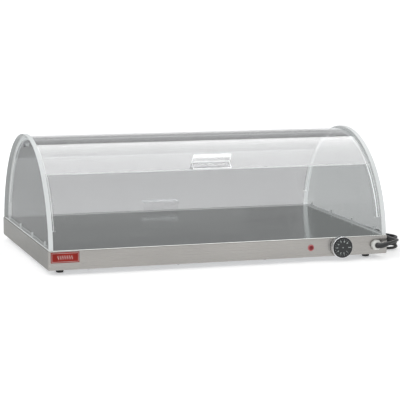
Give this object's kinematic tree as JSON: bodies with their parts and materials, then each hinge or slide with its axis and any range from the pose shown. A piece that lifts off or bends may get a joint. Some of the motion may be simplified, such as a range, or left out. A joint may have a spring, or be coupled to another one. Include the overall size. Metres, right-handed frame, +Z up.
{
  "type": "heated display case",
  "caption": "Countertop warming showcase: flat steel heating base under a clear barrel dome with two sliding curved flaps, a thermostat knob, a pilot lamp and a mains lead.",
  "frame": {"origin": "on the table, under the middle of the case's footprint without the mains lead", "axes": "+Z up; front, with the knob, towards -Y; +X along the length, to the right seen from the front"},
  "size_m": [0.8575, 0.5226, 0.276],
  "materials": {
    "brushed_steel": "brushed along the length, satin",
    "galvanised_steel": "plain zinc-coated sheet",
    "clear_panel": "clear cast acrylic, polished edges",
    "clear_sheet": "clear bent acrylic sheet",
    "clear_trim": "clear acrylic, polished",
    "heating_mat": "glass-cloth reinforced silicone",
    "insulation": "matt mineral fibre board",
    "black_knob": "semi-gloss black",
    "chrome_trim": "polished",
    "dial_face": "black with pale figures",
    "red_lens": "translucent red",
    "red_badge": "gloss enamel, blank",
    "grey_gland": "moulded nylon",
    "black_rubber": "matt",
    "black_cord": "smooth sheath",
    "plug_plastic": "moulded",
    "nickel_pins": "nickel-plated",
    "zinc_fasteners": "zinc-plated",
    "thermostat_case": "moulded resin case",
    "copper": "bare copper",
    "white_ceramic": "moulded terminal block",
    "lamp_case": "moulded black body",
    "wire_sleeve": "silicone-sheathed wire",
    "supply_cores": "insulated cores"
  },
  "bodies": {
    "base": {"housing": "brushed_steel", "bottom_cover": "galvanised_steel", "cover_screws": "zinc_fasteners", "foot_front_left": "black_rubber", "foot_front_right": "black_rubber", "foot_rear_left": "black_rubber", "foot_rear_right": "black_rubber", "foot_screws": "zinc_fasteners", "foot_nuts": "zinc_fasteners", "heating_mat_left": "heating_mat", "heating_mat_right": "heating_mat", "insulation_board": "insulation", "retainer_plate": "galvanised_steel", "heater_studs": "zinc_fasteners", "heater_nuts": "zinc_fasteners", "thermostat": "thermostat_case", "thermostat_screws": "zinc_fasteners", "sensor_bulb": "copper", "capillary": "copper", "pilot_lens": "red_lens", "pilot_lamp_body": "lamp_case", "pilot_clip": "zinc_fasteners", "badge": "red_badge", "gland_body": "grey_gland", "gland_nut": "grey_gland", "gland_locknut": "grey_gland", "cord_guard": "black_rubber", "power_cord": "black_cord", "cord_hank": "black_cord", "cord_tie": "black_rubber", "power_cord_tail": "black_cord", "plug_body": "plug_plastic", "plug_pins": "nickel_pins", "plug_earth_contacts": "nickel_pins", "terminal_block": "white_ceramic", "terminal_bracket": "galvanised_steel", "terminal_screws": "zinc_fasteners", "inner_lead": "black_cord", "supply_wires": "supply_cores", "thermostat_wire": "wire_sleeve", "heater_wire": "wire_sleeve", "lamp_wire": "wire_sleeve", "earth_stud": "nickel_pins", "earth_nut": "nickel_pins", "end_panel_left": "clear_panel", "end_panel_right": "clear_panel", "guide_rail_left": "clear_trim", "guide_rail_right": "clear_trim", "end_panel_screws": "zinc_fasteners", "tie_rod": "clear_trim", "tie_rod_screws": "chrome_trim"},
    "front_flap": {"front_flap": "clear_sheet", "front_handle": "clear_trim"},
    "rear_flap": {"rear_flap": "clear_sheet", "rear_handle": "clear_trim"},
    "knob": {"knob": "black_knob", "knob_trim": "chrome_trim", "dial_disc": "dial_face", "thermostat_spindle": "zinc_fasteners"}
  },
  "joints": [
    {"name": "front_flap_slide_round", "type": "hinge", "parent": "base", "child": "front_flap", "pos_m": [0, 0.00473, 0.037], "axis": [1, 0, 0], "range_deg": [0, 42]},
    {"name": "rear_flap_slide_round", "type": "hinge", "parent": "base", "child": "rear_flap", "pos_m": [0, 0.00473, 0.037], "axis": [1, 0, 0], "range_deg": [0, 35]},
    {"name": "knob_turn", "type": "hinge", "parent": "base", "child": "knob", "pos_m": [0.275, -0.245, 0.033], "axis": [0, 1, 0], "range_deg": [0, 270]}
  ]
}
